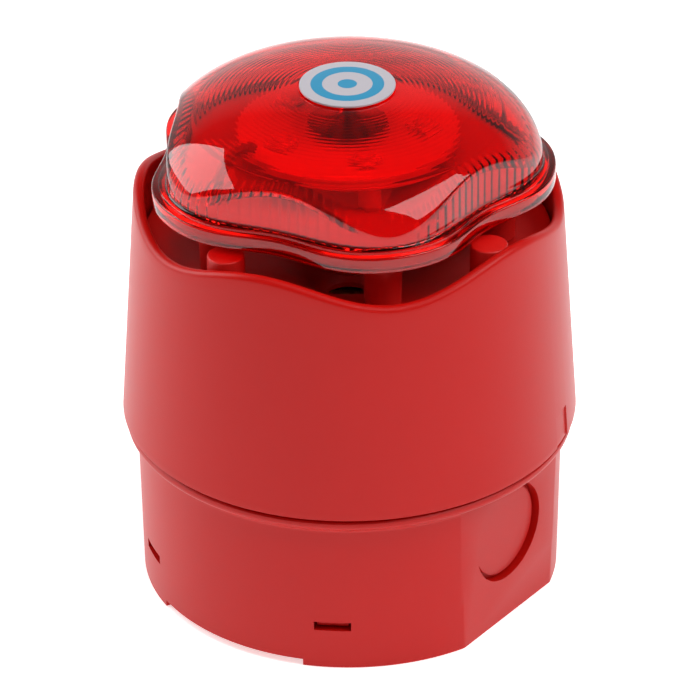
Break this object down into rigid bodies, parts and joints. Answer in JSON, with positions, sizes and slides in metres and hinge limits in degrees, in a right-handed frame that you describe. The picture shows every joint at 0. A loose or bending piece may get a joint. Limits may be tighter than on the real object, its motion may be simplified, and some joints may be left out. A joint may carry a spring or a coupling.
{
  "type": "horn strobe",
  "caption": "Round fire alarm sounder on a deep mounting base, with a wavy sound slot and a lobed red flashing lens on top.",
  "frame": {"origin": "middle of the flat back face of the base, which lies on the wall or ceiling", "axes": "+Z out of the wall along the axis, towards the lens; +X and -X face the two conduit entries"},
  "size_m": [0.093, 0.093, 0.1101],
  "materials": {
    "red_shell": "satin moulded ABS",
    "red_inner": "moulded ABS",
    "red_lens": "clear red polycarbonate, polished",
    "label": "printed film",
    "grey_moulding": "moulded PBT",
    "white_moulding": "moulded nylon",
    "rubber": "moulded EPDM",
    "green_board": "solder mask over glass epoxy",
    "white_board": "white solder mask over glass epoxy",
    "ferrite": "sintered",
    "steel": "zinc plated",
    "bronze": "bright strip",
    "film": "pressed polyimide film",
    "cable": "extruded PVC",
    "reflector": "vacuum metallised"
  },
  "bodies": {
    "base": {"base_skirt": "red_shell", "mounting_plate": "red_inner", "terminal_block": "grey_moulding", "contact_spring_1": "bronze", "contact_spring_2": "bronze", "base_seal": "rubber"},
    "head": {"housing": "red_shell", "chassis": "red_inner", "chassis_screw_1": "steel", "chassis_screw_2": "steel", "chassis_screw_3": "steel", "board_screw_1": "steel", "board_screw_2": "steel", "main_board": "green_board", "dip_switch_body": "red_inner", "volume_pot_body": "grey_moulding", "capacitor": "grey_moulding", "inductor": "ferrite", "head_contact_1": "bronze", "head_contact_2": "bronze", "driver_yoke": "steel", "driver_magnet": "ferrite", "pole_piece": "steel", "driver_frame": "grey_moulding", "horn": "red_inner", "horn_screw_1": "steel", "horn_screw_2": "steel", "horn_screw_3": "steel", "beacon_tray": "red_inner", "post_screw_1": "steel", "post_screw_2": "steel", "post_screw_3": "steel", "post_screw_4": "steel", "beacon_board": "white_board", "led_1": "white_moulding", "led_2": "white_moulding", "led_3": "white_moulding", "led_4": "white_moulding", "led_5": "white_moulding", "reflector": "reflector", "beacon_lead": "cable", "lens_seal": "rubber", "lens": "red_lens", "label": "label"},
    "diaphragm": {"diaphragm": "film"},
    "volume_rotor": {"volume_pot_rotor": "white_moulding"},
    "screw_1": {"terminal_screw_1": "steel"},
    "cage_1": {"terminal_cage_1": "steel"},
    "screw_2": {"terminal_screw_2": "steel"},
    "cage_2": {"terminal_cage_2": "steel"},
    "screw_3": {"terminal_screw_3": "steel"},
    "cage_3": {"terminal_cage_3": "steel"},
    "screw_4": {"terminal_screw_4": "steel"},
    "cage_4": {"terminal_cage_4": "steel"},
    "lever_1": {"dip_lever_1": "white_moulding"},
    "lever_2": {"dip_lever_2": "white_moulding"},
    "lever_3": {"dip_lever_3": "white_moulding"},
    "lever_4": {"dip_lever_4": "white_moulding"},
    "lever_5": {"dip_lever_5": "white_moulding"}
  },
  "joints": [
    {"name": "head_twist", "type": "hinge", "parent": "base", "child": "head", "pos_m": [0, 0, 0.04], "axis": [0, 0, 1], "range_deg": [0, 20]},
    {"name": "terminal_screw_1_turn", "type": "hinge", "parent": "base", "child": "screw_1", "pos_m": [-0.0099, 0.0203, 0.024], "axis": [0, 0, -1], "range_deg": [0, 1440]},
    {"name": "terminal_cage_1_lift", "type": "slide", "parent": "base", "child": "cage_1", "axis": [0, 0, 1], "range_m": [0, 0.002]},
    {"name": "terminal_screw_2_turn", "type": "hinge", "parent": "base", "child": "screw_2", "pos_m": [-0.0033, 0.0203, 0.024], "axis": [0, 0, -1], "range_deg": [0, 1440]},
    {"name": "terminal_cage_2_lift", "type": "slide", "parent": "base", "child": "cage_2", "axis": [0, 0, 1], "range_m": [0, 0.002]},
    {"name": "terminal_screw_3_turn", "type": "hinge", "parent": "base", "child": "screw_3", "pos_m": [0.0033, 0.0203, 0.024], "axis": [0, 0, -1], "range_deg": [0, 1440]},
    {"name": "terminal_cage_3_lift", "type": "slide", "parent": "base", "child": "cage_3", "axis": [0, 0, 1], "range_m": [0, 0.002]},
    {"name": "terminal_screw_4_turn", "type": "hinge", "parent": "base", "child": "screw_4", "pos_m": [0.0099, 0.0203, 0.024], "axis": [0, 0, -1], "range_deg": [0, 1440]},
    {"name": "terminal_cage_4_lift", "type": "slide", "parent": "base", "child": "cage_4", "axis": [0, 0, 1], "range_m": [0, 0.002]},
    {"name": "dip_lever_1_slide", "type": "slide", "parent": "head", "child": "lever_1", "axis": [0, 1, 0], "range_m": [0, 0.0016]},
    {"name": "dip_lever_2_slide", "type": "slide", "parent": "head", "child": "lever_2", "axis": [0, 1, 0], "range_m": [0, 0.0016]},
    {"name": "dip_lever_3_slide", "type": "slide", "parent": "head", "child": "lever_3", "axis": [0, 1, 0], "range_m": [0, 0.0016]},
    {"name": "dip_lever_4_slide", "type": "slide", "parent": "head", "child": "lever_4", "axis": [0, 1, 0], "range_m": [0, 0.0016]},
    {"name": "dip_lever_5_slide", "type": "slide", "parent": "head", "child": "lever_5", "axis": [0, 1, 0], "range_m": [0, 0.0016]},
    {"name": "volume_turn", "type": "hinge", "parent": "head", "child": "volume_rotor", "pos_m": [0.016, -0.01, 0.035], "axis": [0, 0, -1], "range_deg": [-135, 135]},
    {"name": "diaphragm_travel", "type": "slide", "parent": "head", "child": "diaphragm", "axis": [0, 0, 1], "range_m": [-0.0003, 0.0003], "stiffness_N_per_m": 200}
  ],
  "couplings": [
    {"joint": "terminal_screw_1_turn", "follows": "terminal_cage_1_lift", "rad_per_m": 12566},
    {"joint": "terminal_screw_2_turn", "follows": "terminal_cage_2_lift", "rad_per_m": 12566},
    {"joint": "terminal_screw_3_turn", "follows": "terminal_cage_3_lift", "rad_per_m": 12566},
    {"joint": "terminal_screw_4_turn", "follows": "terminal_cage_4_lift", "rad_per_m": 12566}
  ]
}
